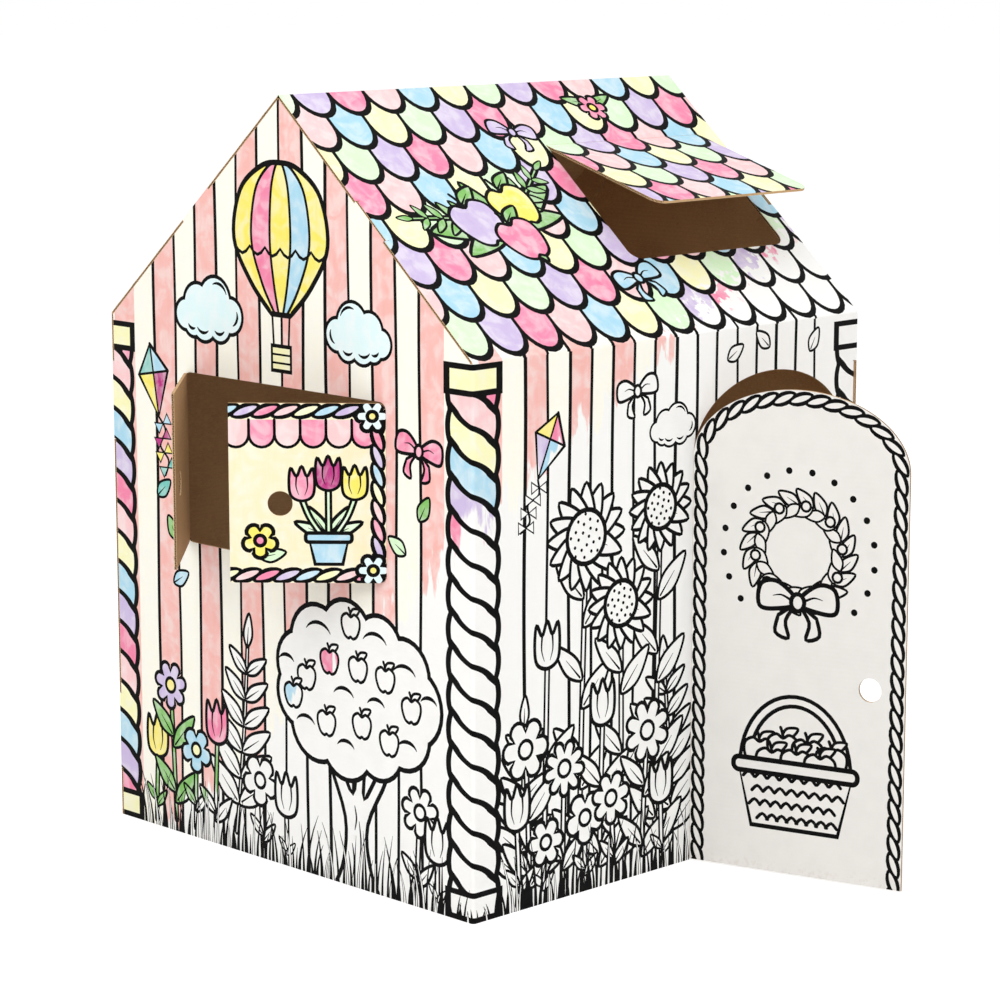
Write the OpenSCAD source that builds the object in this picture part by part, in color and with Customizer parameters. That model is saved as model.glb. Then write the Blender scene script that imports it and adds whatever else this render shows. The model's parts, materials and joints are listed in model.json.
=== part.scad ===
// Cardboard playhouse: two scored and folded sheets of corrugated board that tuck together.
// Each sheet is a gable, a side wall and a roof slope. The front one also has a door,
// a pair of window shutters and a roof hatch cut out of it, each swinging on a scored fold.
// All sizes are in millimetres. The ridge runs along X and the door faces -Y.

/* [House] */
// Length of the house along the ridge
house_l = 880; // [800:1:1000]
// Width of the house across the gable
house_w = 850; // [760:1:950]
// Height of the eaves
eave_h = 850; // [820:1:920]
// Height of the ridge
ridge_h = 1220; // [1160:1:1320]
// Thickness of the corrugated board
board = 4; // [3:0.5:6]
// Inside radius of a scored fold
fold_r = 1.5; // [0.5:0.1:3]
// Gap between boards that lie against each other
seam_gap = 0.3; // [0.2:0.1:0.6]

/* [Cut lines] */
// Width of a die-cut line around a flap or a tab
kerf = 1; // [0.6:0.1:2]
// Width of the crease beside a flap's fold
crease = 0.5; // [0.3:0.1:0.8]
// Diameter of the finger holes
finger_d = 38; // [25:1:50]

/* [Door] */
// Width of the doorway
door_w = 365; // [300:1:400]
// Height of the doorway's straight sides
door_side_h = 655; // [560:1:680]
// Rise of the arch over the doorway
door_rise = 119; // [80:1:140]
// Wall left between the doorway and the far corner
door_post = 33; // [20:1:60]
// Gap under the door
door_foot = 2; // [1:0.5:6]
// How far the door stands open, in degrees
door_angle = 74; // [30:1:90]
// Finger hole's distance from the door's free edge
door_hole_in = 58; // [40:1:90]
// Finger hole's height on the door
door_hole_h = 315; // [200:1:500]

/* [Window] */
// Width of the window
window_w = 476; // [380:1:540]
// Height of the window
window_h = 277; // [220:1:320]
// Height of the window's sill
window_sill = 494; // [420:1:540]
// Corner radius at the shutters' folds
shutter_corner = 14; // [6:1:24]
// How far the shutters stand open, in degrees
shutter_angle = 44; // [20:1:80]
// Finger hole's distance from a shutter's free edge
shutter_hole_in = 77; // [40:1:110]
// Finger hole's height above the sill
shutter_hole_up = 123; // [60:1:160]

/* [Roof hatch] */
// Width of the hatch
hatch_w = 366; // [280:1:400]
// Length of the hatch down the slope
hatch_l = 259; // [180:1:280]
// Distance down the slope from the ridge to the hatch's fold
hatch_top = 143; // [100:1:170]
// Roof left between the hatch and the far edge
hatch_side = 42; // [20:1:70]
// Corner radius at the hatch's free edge
hatch_corner = 22; // [8:1:40]
// How far the hatch is lifted, in degrees
hatch_angle = 24; // [10:1:80]

/* [Tabs] */
// Length of a corner tab along its fold
tab_w = 130; // [80:1:150]
// Depth of a corner tab
tab_d = 70; // [40:1:90]
// Height of the middle of the lower corner tab
tab_low = 145; // [110:1:200]
// Height of the middle of the upper corner tab
tab_high = 705; // [640:1:730]
// Length of a roof tab along its fold
roof_tab_w = 85; // [60:1:120]
// Depth of a roof tab
roof_tab_d = 55; // [35:1:70]
// Distance down the slope from the ridge to the middle of a roof tab
roof_tab_at = 272; // [220:1:320]
// Chamfer on a tab's corners
tab_chamfer = 15; // [5:1:25]
// Depth of the flange folded under the rear slope at the ridge
flange_d = 60; // [30:1:90]
// Flange's distance from the gables' outer faces
flange_in = 20; // [14:1:40]

/* [Hidden] */
$fn = 64;
// Cutters reach this far past the faces they cut
over = 1;
arch_steps = 48;

pitch = atan2(ridge_h - eave_h, house_w / 2);
slope_l = norm([house_w / 2, ridge_h - eave_h]);
fold_out = fold_r + board;
// Length that the eaves' fold takes off each of its two panels
eave_turn = 90 - pitch;
eave_take = fold_out * tan(eave_turn / 2);
// Depth of a panel's face below that of the board lying over it
lay = board + seam_gap;
gable_x = -house_l / 2;
wall_y = -house_w / 2;

door_x = house_l / 2 - door_post - door_w;
door_flap_w = door_w - kerf;
shutter_w = (window_w - kerf) / 2;
shutter_h = window_h - 2 * kerf;
hatch_x = house_l / 2 - hatch_side - hatch_w;

// The middle of the part's box, with the flaps standing open, is the origin
shift_x = shutter_w * sin(shutter_angle) / 2;
shift_y = door_flap_w * sin(door_angle) / 2;

// Point in the Y-Z plane: s down the front slope from the ridge, n out from its face
function on_slope(s, n) = [-s * cos(pitch) - n * sin(pitch), ridge_h - s * sin(pitch) + n * cos(pitch)];
function behind(p) = [-p[0], p[1]];

module place() {
    translate([shift_x, shift_y, 0]) children();
}

// A flat outline in Y and Z, from x0 to x1
module along_x(x0, x1) {
    translate([x0, 0, 0]) rotate([90, 0, 90]) linear_extrude(x1 - x0) children();
}

// The frame of the front slope: X along the ridge, -Y down the slope, Z out of the face
module on_front_slope() {
    translate([0, 0, ridge_h]) rotate([pitch, 0, 0]) children();
}

// Section of a fold, between two angles less than a half turn apart
module fold_section(a0, a1) {
    mid = (a0 + a1) / 2;
    reach = 2 * fold_out;
    intersection() {
        difference() {
            circle(r = fold_out);
            circle(r = fold_r);
        }
        polygon([
            [0, 0],
            reach * [cos(a0), sin(a0)],
            reach / cos(mid - a0) * [cos(mid), sin(mid)],
            reach * [cos(a1), sin(a1)]
        ]);
    }
}

// A tab folded square off a panel's edge: the panel lies along +X, with its face at z = 0
module tuck_tab(w, d) {
    rotate([90, 0, 0]) linear_extrude(w, center = true)
        translate([fold_out, -fold_out]) fold_section(90, 180);
    along_x(0, board) polygon([
        [-w / 2, -fold_out],
        [w / 2, -fold_out],
        [w / 2, tab_chamfer - d],
        [w / 2 - tab_chamfer, -d],
        [tab_chamfer - w / 2, -d],
        [-w / 2, tab_chamfer - d]
    ]);
}

// Flap outline l by w, with its two corners at x = l rounded
module round_end(l, w, r) {
    square([l - r, w]);
    translate([0, r]) square([l, w - 2 * r]);
    for (y = [r, w - r]) translate([l - r, y]) circle(r = r);
}

// Outline of an arched opening, standing on z = 0
module arch(w, side_h, rise) {
    polygon(concat(
        [[0, 0], [w, 0]],
        [for (i = [0 : arch_steps]) let (a = 180 * i / arch_steps)
            [w / 2 * (1 + cos(a)), side_h + rise * sin(a)]]
    ));
}

// Gable outline: it stops short under the roof and behind the wall that meet it,
// and its ears come out to their faces where their tabs are folded in behind it
module gable_outline() {
    drop = lay / cos(pitch);
    front_y = wall_y + fold_out;
    back_y = -wall_y - lay;
    polygon([
        [front_y, 0],
        [back_y, 0],
        [back_y, ridge_h - drop - back_y * tan(pitch)],
        [0, ridge_h - drop],
        [front_y, ridge_h - drop + front_y * tan(pitch)]
    ]);
    for (h = [tab_low, tab_high])
        translate([back_y - over, h - tab_w / 2 + kerf]) square([lay + over, tab_w - 2 * kerf]);
    s0 = roof_tab_at - roof_tab_w / 2 + kerf;
    s1 = roof_tab_at + roof_tab_w / 2 - kerf;
    ear = [on_slope(s0, 0), on_slope(s1, 0), on_slope(s1, -lay - over), on_slope(s0, -lay - over)];
    polygon(ear);
    polygon([for (p = ear) behind(p)]);
}

// Roof slope and the eaves' fold, in section, ending ridge_end short of the ridge
module roof_section(ridge_end) {
    s1 = slope_l - eave_take;
    polygon([
        on_slope(s1, 0),
        [-ridge_end, ridge_h - ridge_end * tan(pitch)],
        [-ridge_end, ridge_h - ridge_end * tan(pitch) - board / cos(pitch)],
        on_slope(s1, -board)
    ]);
    translate([wall_y + fold_out, eave_h - eave_take]) fold_section(180 - eave_turn, 180);
}

// Flange folded down from the ridge, in section, lying under the rear slope
module flange_section() {
    root_y = -lay / (2 * sin(pitch));
    root_z = ridge_h - lay / (2 * cos(pitch));
    polygon([
        [0, ridge_h],
        [0, ridge_h - lay / cos(pitch)],
        behind(on_slope(flange_d, -lay)),
        behind(on_slope(flange_d, -lay - board)),
        [root_y, root_z - board / cos(pitch)],
        [root_y, root_z]
    ]);
}

// Cut that frees a tab's fold at the end of a panel, from x = 0 inwards
module tab_notch(w) {
    depth = lay + fold_out;
    translate([-over, -w / 2, -board - over]) cube([depth + over, w, board + 2 * over]);
}

// One sheet: left gable, side wall and roof slope, with its tabs folded in
module sheet(ridge_end, with_flange) {
    along_x(gable_x, gable_x + board) gable_outline();
    translate([gable_x + fold_out, wall_y + fold_out, 0])
        linear_extrude(eave_h - eave_take) fold_section(180, 270);
    difference() {
        translate([gable_x + fold_out, wall_y, 0])
            cube([house_l - fold_out, board, eave_h - eave_take]);
        for (h = [tab_low, tab_high]) at_wall_end(h) tab_notch(tab_w);
    }
    for (h = [tab_low, tab_high]) at_wall_end(h) translate([lay, 0, 0]) tuck_tab(tab_w - 2 * kerf, tab_d);
    difference() {
        along_x(gable_x, -gable_x) roof_section(ridge_end);
        for (side = [0, 1]) at_roof_end(side) tab_notch(roof_tab_w);
    }
    for (side = [0, 1])
        at_roof_end(side) translate([lay, 0, 0]) tuck_tab(roof_tab_w - 2 * kerf, roof_tab_d);
    if (with_flange) along_x(gable_x + flange_in, -gable_x - flange_in) flange_section();
}

// Frame of a tab at the far end of the side wall, at height h
module at_wall_end(h) {
    translate([-gable_x, wall_y, h]) mirror([1, 0, 0]) rotate([90, 0, 0]) children();
}

// Frame of a tab at the left (0) or right (1) end of the roof slope
module at_roof_end(side) {
    mirror([side, 0, 0]) on_front_slope() translate([gable_x, -roof_tab_at, 0]) children();
}

module doorway_cut() {
    translate([door_x - crease, wall_y + board + over, -over]) rotate([90, 0, 0])
        linear_extrude(board + 2 * over) arch(door_w + crease, door_side_h + over, door_rise);
}

module window_cut() {
    half_w = window_w / 2 + crease;
    along_x(gable_x - over, gable_x + board + over)
        for (side = [0, 1]) mirror([side, 0])
            translate([-over, window_sill]) round_end(half_w + over, window_h, shutter_corner);
}

module hatch_cut() {
    on_front_slope() translate([hatch_x, crease - hatch_top, -board - over])
        linear_extrude(board + 2 * over)
            rotate(-90) round_end(hatch_l + crease, hatch_w, hatch_corner);
}

// A shutter lying shut, with its fold at y = 0 and its face at x = 0
module shut_shutter() {
    difference() {
        along_x(0, board) translate([shutter_w, kerf]) mirror([1, 0])
            round_end(shutter_w, shutter_h, shutter_corner - kerf);
        translate([-over, shutter_w - shutter_hole_in, shutter_hole_up]) rotate([0, 90, 0])
            cylinder(d = finger_d, h = board + 2 * over);
    }
}

module front_sheet() {
    color("mistyrose") place() difference() {
        sheet(0, true);
        doorway_cut();
        window_cut();
        hatch_cut();
    }
}

module rear_sheet() {
    color("seashell") place() rotate([0, 0, 180]) sheet(seam_gap, false);
}

module door() {
    color("whitesmoke") place() translate([door_x, wall_y, 0]) rotate([0, 0, -door_angle]) difference() {
        translate([0, board, door_foot]) rotate([90, 0, 0]) linear_extrude(board)
            arch(door_flap_w, door_side_h - door_foot, door_rise - kerf);
        translate([door_flap_w - door_hole_in, -over, door_hole_h]) rotate([-90, 0, 0])
            cylinder(d = finger_d, h = board + 2 * over);
    }
}

module left_shutter() {
    color("lemonchiffon") place() translate([gable_x, window_w / 2, window_sill])
        rotate([0, 0, -shutter_angle]) mirror([0, 1, 0]) shut_shutter();
}

module right_shutter() {
    color("lemonchiffon") place() translate([gable_x, -window_w / 2, window_sill])
        rotate([0, 0, shutter_angle]) shut_shutter();
}

module hatch() {
    fold = on_slope(hatch_top, 0);
    color("lavender") place() translate([hatch_x + kerf, fold[0], fold[1]])
        rotate([pitch - hatch_angle, 0, 0]) translate([0, 0, -board]) linear_extrude(board)
            rotate(-90) round_end(hatch_l - kerf, hatch_w - 2 * kerf, hatch_corner - kerf);
}

front_sheet();
rear_sheet();
door();
left_shutter();
right_shutter();
hatch();
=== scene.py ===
import json
import random
from functools import cache
from math import atan2, cos, degrees, hypot, pi, radians, sin, sqrt, tan

import bpy
from mathutils import Matrix, Vector
from mathutils.geometry import delaunay_2d_cdt


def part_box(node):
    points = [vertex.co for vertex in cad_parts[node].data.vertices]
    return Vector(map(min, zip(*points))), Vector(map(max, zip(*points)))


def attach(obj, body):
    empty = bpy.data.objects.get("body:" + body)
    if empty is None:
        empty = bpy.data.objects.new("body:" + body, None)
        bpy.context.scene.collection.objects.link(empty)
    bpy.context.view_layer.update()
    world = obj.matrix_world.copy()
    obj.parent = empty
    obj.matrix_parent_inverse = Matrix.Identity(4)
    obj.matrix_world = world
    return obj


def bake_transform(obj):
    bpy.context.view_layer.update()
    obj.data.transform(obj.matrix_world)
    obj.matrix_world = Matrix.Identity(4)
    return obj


# The cardboard playhouse's looks: printed liners on the folded sheets and flaps, kraft board
# inside and fluted cut edges. Pictures are drawn in millimetres on each panel, seen from outside.

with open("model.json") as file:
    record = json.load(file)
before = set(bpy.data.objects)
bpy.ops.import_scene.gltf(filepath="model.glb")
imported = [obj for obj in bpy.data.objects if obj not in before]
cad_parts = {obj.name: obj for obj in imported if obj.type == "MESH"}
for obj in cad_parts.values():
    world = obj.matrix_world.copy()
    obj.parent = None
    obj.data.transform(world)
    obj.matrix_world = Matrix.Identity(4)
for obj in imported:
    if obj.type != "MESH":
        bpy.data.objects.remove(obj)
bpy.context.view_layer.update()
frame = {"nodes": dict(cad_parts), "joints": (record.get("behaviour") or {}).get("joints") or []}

MM = 0.001

# Sizes of the board and of its cuts, in millimetres, as in the solids
BOARD = 4.0
EAVE = 850.0
FOLD = 5.5
LAY = 4.3
KERF = 1.0
CREASE = 0.25
TAB_W, TAB_LOW, TAB_HIGH = 130.0, 145.0, 705.0
ROOF_TAB_W, ROOF_TAB_AT = 85.0, 272.0
NOTCH = LAY + FOLD
DOOR_W, DOOR_SIDE, DOOR_RISE, DOOR_POST, DOOR_FOOT = 365.0, 655.0, 119.0, 33.0, 2.0
DOOR_HOLE = (306.0, 315.0)
WINDOW_W, WINDOW_H, SILL, SHUTTER_CORNER = 476.0, 277.0, 494.0, 14.0
SHUTTER_W = (WINDOW_W - KERF) / 2
SHUTTER_HOLE_IN, SHUTTER_HOLE_UP = 77.0, 123.0
HATCH_W, HATCH_L, HATCH_TOP, HATCH_SIDE, HATCH_CORNER = 366.0, 259.0, 143.0, 42.0, 22.0
FINGER_R = 19.0

# The print stands this far proud of the board, and thins out towards the folds of the flaps
SKIN, SKIN_FOOT, FOLD_BACK = 0.3, 0.004, 6.0

# Cut edges: the share of the skin's thickness, the flutes' pitch, and the liners and waves in width
EDGE_SHARE, FLUTE, EDGE_LINER, EDGE_WAVE = 0.25, 7.5, 0.7, 0.75

# The brown liner inside a flap's fold: its gap from the board and its reach to each side
INNER_GAP, INNER_REACH = 0.1, 6.0

# The house, as the frame has it
low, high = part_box("front_sheet")
LENGTH = (high.x - low.x) / MM
WIDTH = (high.y - low.y) / MM
RIDGE = high.z / MM
MIDDLE = Vector(((low.x + high.x) / 2, (low.y + high.y) / 2, 0))
PITCH = atan2(RIDGE - EAVE, WIDTH / 2)
SLOPE = hypot(WIDTH / 2, RIDGE - EAVE)
EAVE_TURN = pi / 2 - PITCH
EAVE_FLAT = SLOPE - FOLD * tan(EAVE_TURN / 2)
WALL_TOP = EAVE - FOLD * tan(EAVE_TURN / 2)
CORNER_ARC = FOLD * pi / 2
DOOR_X = LENGTH - DOOR_POST - DOOR_W
HATCH_X = LENGTH - HATCH_SIDE - HATCH_W
WINDOW_X = (WIDTH - WINDOW_W) / 2
JOINTS = {j["child"]: j for j in frame["joints"]}

# The colouring-in stops along a slanting front on the unfolded sheet: its height at the near
# corner, and how much it rises on each panel for each millimetre to the right
FRONT_HEIGHT = 598.0
GABLE_RISE, WALL_RISE, ROOF_RISE = 0.83, 0.58, 0.456
FRONT_RAGGED, FRONT_SOFT = 38.0, 9.0

# The photograph's camera, round the house's middle
CAMERA_AZIMUTH, CAMERA_ELEVATION, CAMERA_DISTANCE = -44.552, 10.312, 5.3423
CAMERA_TARGET = (0.034433, 0.0, 0.531718)
FOCAL_PIXELS, PHOTO_PIXELS, SENSOR = 3207.3, 1000, 36.0

COLOURS = {
    "liner": (250, 249, 246),
    # The door's liner is the walls' white painted greyer: painted shade on the door
    "door_liner": (234, 231, 226),
    "scuff": (214, 205, 192),
    "ink": (4, 4, 4),
    "worn_ink": (14, 13, 12),
    "pink_plank": (247, 190, 182),
    "cream_plank": (255, 252, 238),
    "lilac": (208, 191, 227),
    "hot_pink": (245, 140, 174),
    "pale_pink": (251, 206, 207),
    "sky": (175, 219, 238),
    "yellow": (252, 249, 196),
    "sun": (252, 236, 110),
    "mint": (219, 247, 206),
    "leaf": (134, 194, 104),
    "magenta": (190, 48, 132),
    "teal": (120, 200, 190),
    "cloud": (228, 249, 250),
    "field": (250, 238, 200),
    "kraft_board": (204, 166, 121),
    "edge_flute": (204, 166, 121),
    "edge_liner": (214, 181, 138),
    # The cut edge's dark ground: painted shade in the hollows between the flutes, and also the colour of the
    # board's dark flecks
    "edge_gap": (74, 52, 33),
}

# The inks that the house is sold with, and the bare board's; the door's liner among them is the walls' white
# painted greyer as shade. All others are coloured in by hand
PRINTED = ("ink", "liner", "door_liner")
# Among the bare board's colours, the darkest is painted shade in the hollows between a cut edge's flutes
BROWN = ("kraft_board", "edge_flute", "edge_liner", "edge_gap")
KRAFT_SPREAD = 0.16
PAPER_SHINE, INK_SHINE = 0.2, 0.08

PEN_WEIGHT = 1.3
PLANK_LINE, SHINGLE_LINE, AWNING_LINE = 6.4, 6.0, 4.5
PLANKS = ("pink_plank", "cream_plank")
PLAIN = ("liner",)
TWIST = ("hot_pink", "pale_pink", "yellow", "sky", "lilac")
ROOF_INKS = ("lilac", "hot_pink", "pale_pink", "sky", "yellow", "mint")


# Geometry of the picture plane

def at(u, v):
    return Vector((u, v))


def path(*places):
    return [Vector(p) for p in places]


def steps_between(first, last, gap):
    count = max(1, round(abs(last - first) / gap))
    return [first + (last - first) * k / count for k in range(count + 1)]


def smooth(points, closed=False, steps=6):
    """A smooth line through the points."""
    p = path(*points)
    n = len(p)
    line = []
    for i in range(n if closed else n - 1):
        a, b, c, d = (p[(i + k) % n] if closed else p[min(max(i + k, 0), n - 1)] for k in (-1, 0, 1, 2))
        for step in range(steps):
            t = step / steps
            line.append((2 * b + (c - a) * t + (2 * a - 5 * b + 4 * c - d) * t ** 2
                         + (3 * b - a - 3 * c + d) * t ** 3) / 2)
    return line if closed else line + [p[-1]]


def oval(x, y, rx, ry=None, start=0, end=360, steps=24):
    """Points of an ellipse or of a part of it, in degrees."""
    whole = abs(end - start) >= 360
    angles = [radians(start + (end - start) * i / steps) for i in range(steps if whole else steps + 1)]
    return [at(x + rx * cos(a), y + (ry or rx) * sin(a)) for a in angles]


def ring(count, radius, start=0, end=360):
    """Places round a circle, each with its angle in degrees."""
    angles = steps_between(start, end, (end - start) / count)[:-1]
    return [(a, at(radius * cos(radians(a)), radius * sin(radians(a)))) for a in angles]


def lobed(radius, lobes, depth, start=90, steps=8):
    """A closed outline of round lobes, such as a flower's."""
    line = []
    for i in range(lobes * steps):
        swell = 1 - depth + depth * sqrt(abs(sin(pi * i / steps)))
        a = radians(start) + 2 * pi * i / (lobes * steps)
        line.append(at(radius * swell * cos(a), radius * swell * sin(a)))
    return line


def rectangle(u0, v0, u1, v1):
    return path((u0, v0), (u1, v0), (u1, v1), (u0, v1))


def arch(u0, width, foot, side, rise, steps=48):
    """Outline of an arched door, as the solids have it."""
    arc = [pi * i / steps for i in range(steps + 1)]
    top = [at(u0 + width / 2 * (1 + cos(a)), side + rise * sin(a)) for a in arc]
    return [at(u0, foot), at(u0 + width, foot)] + top


def rounded(u0, v0, u1, v1, corners):
    """A rectangle with a radius for each corner: low left, low right, high right, high left."""
    line = []
    ends = ((u0, v0, 1, 1, 180), (u1, v0, -1, 1, 270), (u1, v1, -1, -1, 0), (u0, v1, 1, -1, 90))
    for (u, v, du, dv, start), r in zip(ends, corners):
        if r > 0:
            line += oval(u + du * r, v + dv * r, r, start=start, end=start + 90, steps=8)
        else:
            line.append(at(u, v))
    return line


def symmetric(top, right):
    """Points from the left over the top to the right, the left ones mirrored."""
    return [*((-u, v) for u, v in reversed(right)), top, *right]


def spaced(line, gap):
    """Places and directions along a line, a whole number of gaps of about that length."""
    lengths = [(b - a).length for a, b in zip(line, line[1:])]
    count = max(1, round(sum(lengths) / gap))
    step = sum(lengths) / count
    found, run, want = [], 0, step / 2
    for a, b, length in zip(line, line[1:], lengths):
        while length > 0 and run + length >= want and len(found) < count:
            found.append((a.lerp(b, (want - run) / length), (b - a).normalized()))
            want += step
        run += length
    return found


class Picture:
    """Flat shapes painted one over another, each with the name of its ink."""

    def __init__(self, base="liner"):
        self.points, self.shapes, self.inks = [], [], []
        self.fill(rectangle(-100, -1400, 4000, 1400), base)

    def fill(self, line, ink):
        area = sum(a.cross(b) for a, b in zip(line, line[1:] + line[:1]))
        if abs(area) < 0.02:
            return
        first = len(self.points)
        self.points += line if area > 0 else line[::-1]
        self.shapes.append(list(range(first, len(self.points))))
        self.inks.append(ink)

    def stroke(self, line, width, ink="ink", closed=False, ends=(1, 1), swell=0):
        """A pen line as a strip of quads. ends taper it, and swell thickens its middle."""
        n = len(line)
        sides = []
        for i, p in enumerate(line):
            a = line[(i - 1) % n] if closed else line[max(i - 1, 0)]
            b = line[(i + 1) % n] if closed else line[min(i + 1, n - 1)]
            t = i / max(n - 1, 1)
            across = (b - a).normalized().orthogonal() * width / 2
            across *= ends[0] * (1 - t) + ends[1] * t + swell * sin(pi * t)
            sides.append((p + across, p - across))
        for i in range(n if closed else n - 1):
            (a, b), (c, d) = sides[i], sides[(i + 1) % n]
            turns = [(q - p).cross(r - q) > 0 for p, q, r in ((a, b, d), (b, d, c), (d, c, a), (c, a, b))]
            if all(turns) or not any(turns):
                self.fill([a, b, d, c], ink)
            else:
                self.fill([a, b, d], ink)
                self.fill([a, d, c], ink)
        if not closed and width > 3:
            for (a, b), end in ((sides[0], ends[0]), (sides[-1], ends[1])):
                if end > 0.5:
                    self.fill(oval(*((a + b) / 2), (a - b).length / 2, steps=8), ink)

    def pen(self, u=0, v=0, size=1, turn=0, flip=1):
        return Pen(self, u, v, size, turn, flip)


class Pen:
    """Draws on a picture round its own place, size and turn in degrees."""

    def __init__(self, picture, u, v, size, turn, flip):
        self.picture, self.place, self.size, self.flip = picture, at(u, v), size, flip
        self.turn = Matrix.Rotation(radians(turn), 2)

    def put(self, line):
        return [self.place + self.turn @ (at(p[0] * self.flip, p[1]) * self.size) for p in line]

    def fill(self, line, ink):
        self.picture.fill(self.put(line), ink)

    def stroke(self, line, width, ink="ink", **how):
        self.picture.stroke(self.put(line), width * self.size * PEN_WEIGHT, ink, **how)

    def shape(self, line, ink, width=5):
        """A filled shape with a pen outline."""
        self.fill(line, ink)
        self.stroke(line, width, closed=True)

    def pen(self, u=0, v=0, size=1, turn=0):
        spot = self.put([(u, v)])[0]
        own = degrees(atan2(self.turn[1][0], self.turn[0][0]))
        return Pen(self.picture, spot.x, spot.y, self.size * size, own + turn * self.flip, self.flip)


# Patterns

def planks(pic, edges, bottom, top, inks=None, seed=1):
    """Upright planks between the edges, with hand-drawn lines."""
    rng = random.Random(seed)
    if inks:
        for k, (a, b) in enumerate(zip(edges, edges[1:])):
            pic.fill(rectangle(a, bottom, b, top), inks[k % len(inks)])
    for u in edges[2:-2]:
        waver = rng.uniform(0, 6)
        line = [at(u + 1.6 * sin(v / 90 + waver), v) for v in range(int(bottom), int(top) + 40, 40)]
        pic.stroke(line, PLANK_LINE * rng.uniform(0.85, 1.2))


COLUMN_HALF = 60.0
COLUMN_PITCH, COLUMN_DROP, COLUMN_LEAD = 51.0, 48.0, 29.0
COLUMN_INNER, COLUMN_BULGE, COLUMN_RIM = 39.0, 7.0, 11.0
COLUMN_LINE, COLUMN_TAPER = 4.0, 8.0
CAP_HIGH, CAP_SIDE, CAP_EDGE = 48.0, 13.0, 9.0
NEAR_COLUMN_TOP, FAR_COLUMN_TOP = EAVE - 3, EAVE - 12


def plank_edges(length, gap):
    """Edges of whole planks between the columns, and of one more behind each column."""
    inner = steps_between(COLUMN_HALF, length - COLUMN_HALF, gap)
    wide = inner[1] - inner[0]
    return [inner[0] - wide] + inner + [inner[-1] + wide]


def column(pic, centre, top, coloured=False):
    """A twisted column with a plain block at its head and its foot."""
    inks, cap = (TWIST, "yellow") if coloured else (PLAIN, "liner")
    foot, head = CAP_HIGH, top - CAP_HIGH

    def spot(x, v, rim=0.0):
        """A point of the shaft, x from 0 to 1 across it, whose sides bulge between the lines."""
        turns = (head - v + COLUMN_LEAD - (COLUMN_DROP if x > 0.5 else 0)) / COLUMN_PITCH
        half = COLUMN_INNER + COLUMN_BULGE * abs(sin(pi * turns)) ** 0.6 + rim
        return at(centre + (2 * x - 1) * half, v)

    def line_at(k, x):
        """Height of a line round the shaft: steep at its sides, flatter between."""
        fall = x + 0.35 * sin(2 * pi * x) / (2 * pi)
        return head + COLUMN_LEAD - k * COLUMN_PITCH - COLUMN_DROP * fall

    heights = steps_between(foot, head, 4)
    pic.fill([spot(1, v, COLUMN_RIM) for v in heights]
             + [spot(0, v, COLUMN_RIM) for v in reversed(heights)], "ink")
    for k in range(-1, int((head - foot + COLUMN_LEAD) / COLUMN_PITCH) + 1):
        lower, upper = [], []
        for x in steps_between(0, 1, 0.05):
            a = min(line_at(k, x) - COLUMN_LINE - COLUMN_TAPER * x ** 4, head)
            b = max(line_at(k + 1, x) + COLUMN_LINE + COLUMN_TAPER * (1 - x) ** 4, foot)
            if a - b > 0.5:
                upper.append((x, a))
                lower.append((x, b))
        if len(upper) > 1:
            right = [(upper[-1][0], v) for v in steps_between(lower[-1][1], upper[-1][1], 4)]
            left = [(upper[0][0], v) for v in steps_between(upper[0][1], lower[0][1], 4)]
            band = lower + right[1:-1] + upper[::-1] + left[1:-1]
            pic.fill([spot(*p) for p in band], inks[(k + 1) % len(inks)])
    for v in (head, 0):
        for ink, side, edge in (("ink", 0, 0), (cap, CAP_SIDE, CAP_EDGE)):
            half = COLUMN_HALF - side
            pic.fill(rectangle(centre - half, v + edge, centre + half, v + CAP_HIGH - edge), ink)


def rope(pic, line, inks, width):
    """Two twisted strands along a line: slanting lens shapes with thick outlines."""
    gap, slant = width * 1.36, 20
    for outline in (True, False):
        long, short = gap * 0.6, width * 0.21
        if outline:
            long += 6
            short += 6.5
        lens = [(long * cos(a), short * sin(a) * abs(sin(a)) ** 0.35)
                for a in (2 * pi * i / 16 for i in range(16))]
        for k, (spot, way) in enumerate(spaced(line, gap)):
            pen = pic.pen(*spot, turn=degrees(atan2(way.y, way.x)) + slant)
            pen.fill(lens, "ink" if outline else inks[k % len(inks)])


SHINGLES, SHINGLE_ROWS = 12, 8
SHINGLE_DROP, SHINGLE_TIP = 72.6, 50.0


def tongue(u, tip, width, length, steps=12):
    """A shingle with straight sides and a round lower end."""
    half, deep = width / 2, 0.66 * width
    round_end = [at(u + half * cos(a), tip + deep * (1 + sin(a)))
                 for a in (pi + pi * i / steps for i in range(steps + 1))]
    return [at(u - half, tip + length)] + round_end + [at(u + half, tip + length)]


def shingles(pic, inks):
    """Rows of scalloped shingles down a slope, the upper ones over the lower."""
    wide = LENGTH / SHINGLES
    for row in reversed(range(SHINGLE_ROWS)):
        tip = -(SHINGLE_TIP + row * SHINGLE_DROP)
        first = 0.35 if row % 2 else 0.85
        for k in range(-1, SHINGLES + 1):
            line = tongue((first + k) * wide, tip, wide, SHINGLE_DROP * 1.9)
            pic.fill(line, inks[(k + 2 * row + row // 2) % len(inks)])
            pic.stroke(line, SHINGLE_LINE, swell=0.85)


def awning(pic, u0, u1, top, depth, count, inks):
    wide = (u1 - u0) / count
    for k in range(count):
        scallop = oval(u0 + (k + 0.5) * wide, top - depth + wide / 2, wide / 2, start=180, end=360, steps=10)
        line = [at(u0 + k * wide, top), *scallop, at(u0 + (k + 1) * wide, top)]
        pic.fill(line, inks[k % len(inks)])
        pic.stroke(line, AWNING_LINE)


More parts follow.
